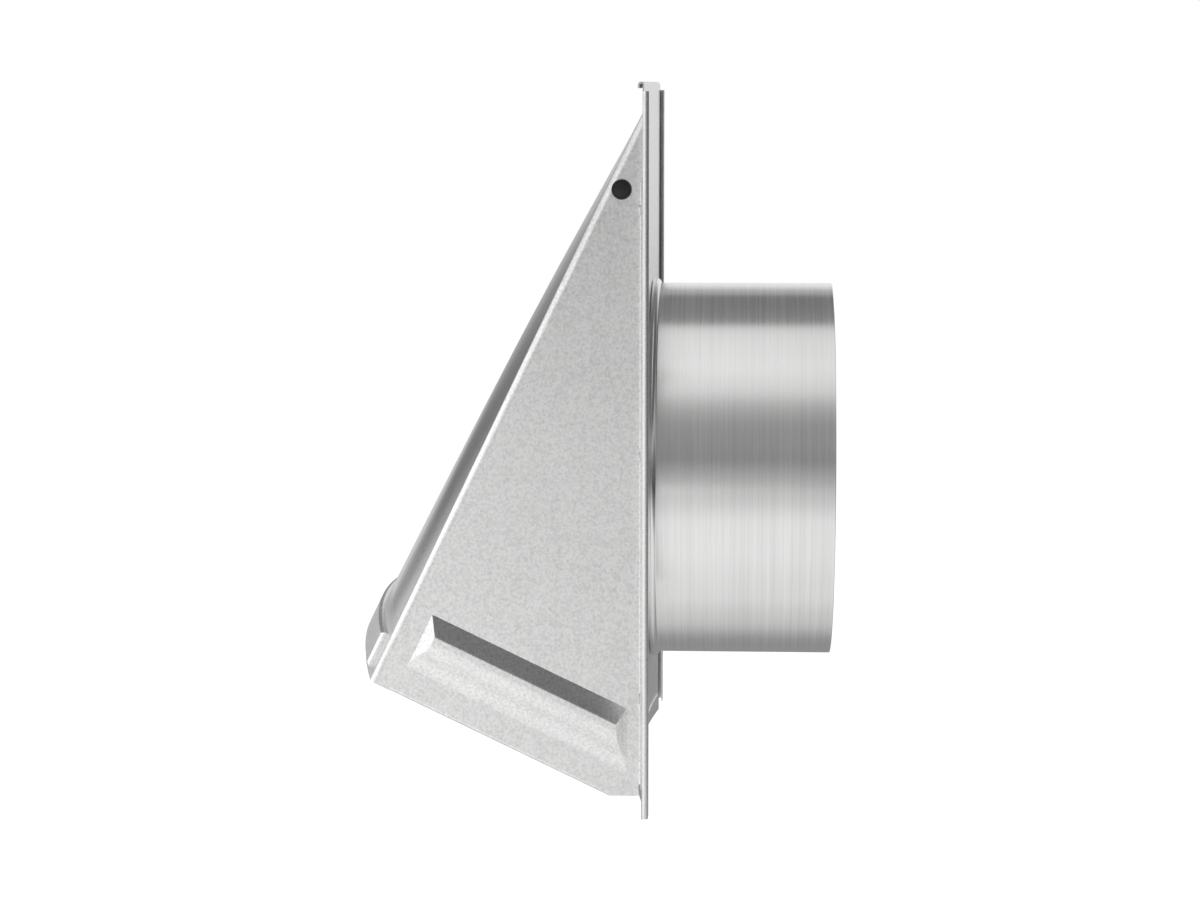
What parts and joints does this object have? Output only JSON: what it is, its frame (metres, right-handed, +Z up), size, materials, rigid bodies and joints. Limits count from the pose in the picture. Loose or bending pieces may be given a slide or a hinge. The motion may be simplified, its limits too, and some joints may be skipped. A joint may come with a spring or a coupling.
{
  "type": "wall vent hood",
  "caption": "Folded sheet metal wall vent hood with a round duct collar, hemmed wall plate, gravity damper on pivot pins and a wire bird screen over its slanted mouth.",
  "frame": {"origin": "on the duct collar's axis, where its straight wall starts behind the stop bead", "axes": "+X across the width, -Y out of the wall with the hood, +Y into the wall along the collar, +Z up"},
  "size_m": [0.215, 0.1872, 0.2758],
  "materials": {
    "mill_aluminium": "satin",
    "black_plastic": "matte",
    "screen_wire": "galvanised"
  },
  "bodies": {
    "housing": {"wall_plate": "mill_aluminium", "hood": "mill_aluminium", "duct_collar": "mill_aluminium", "pivot_pin_right": "black_plastic", "pivot_pin_left": "black_plastic", "bird_screen": "screen_wire"},
    "damper": {"damper_flap": "mill_aluminium"}
  },
  "joints": [
    {"name": "damper_hinge", "type": "hinge", "parent": "housing", "child": "damper", "pos_m": [0, -0.0125, 0.116], "axis": [-1, 0, 0], "range_deg": [0, 24]}
  ]
}
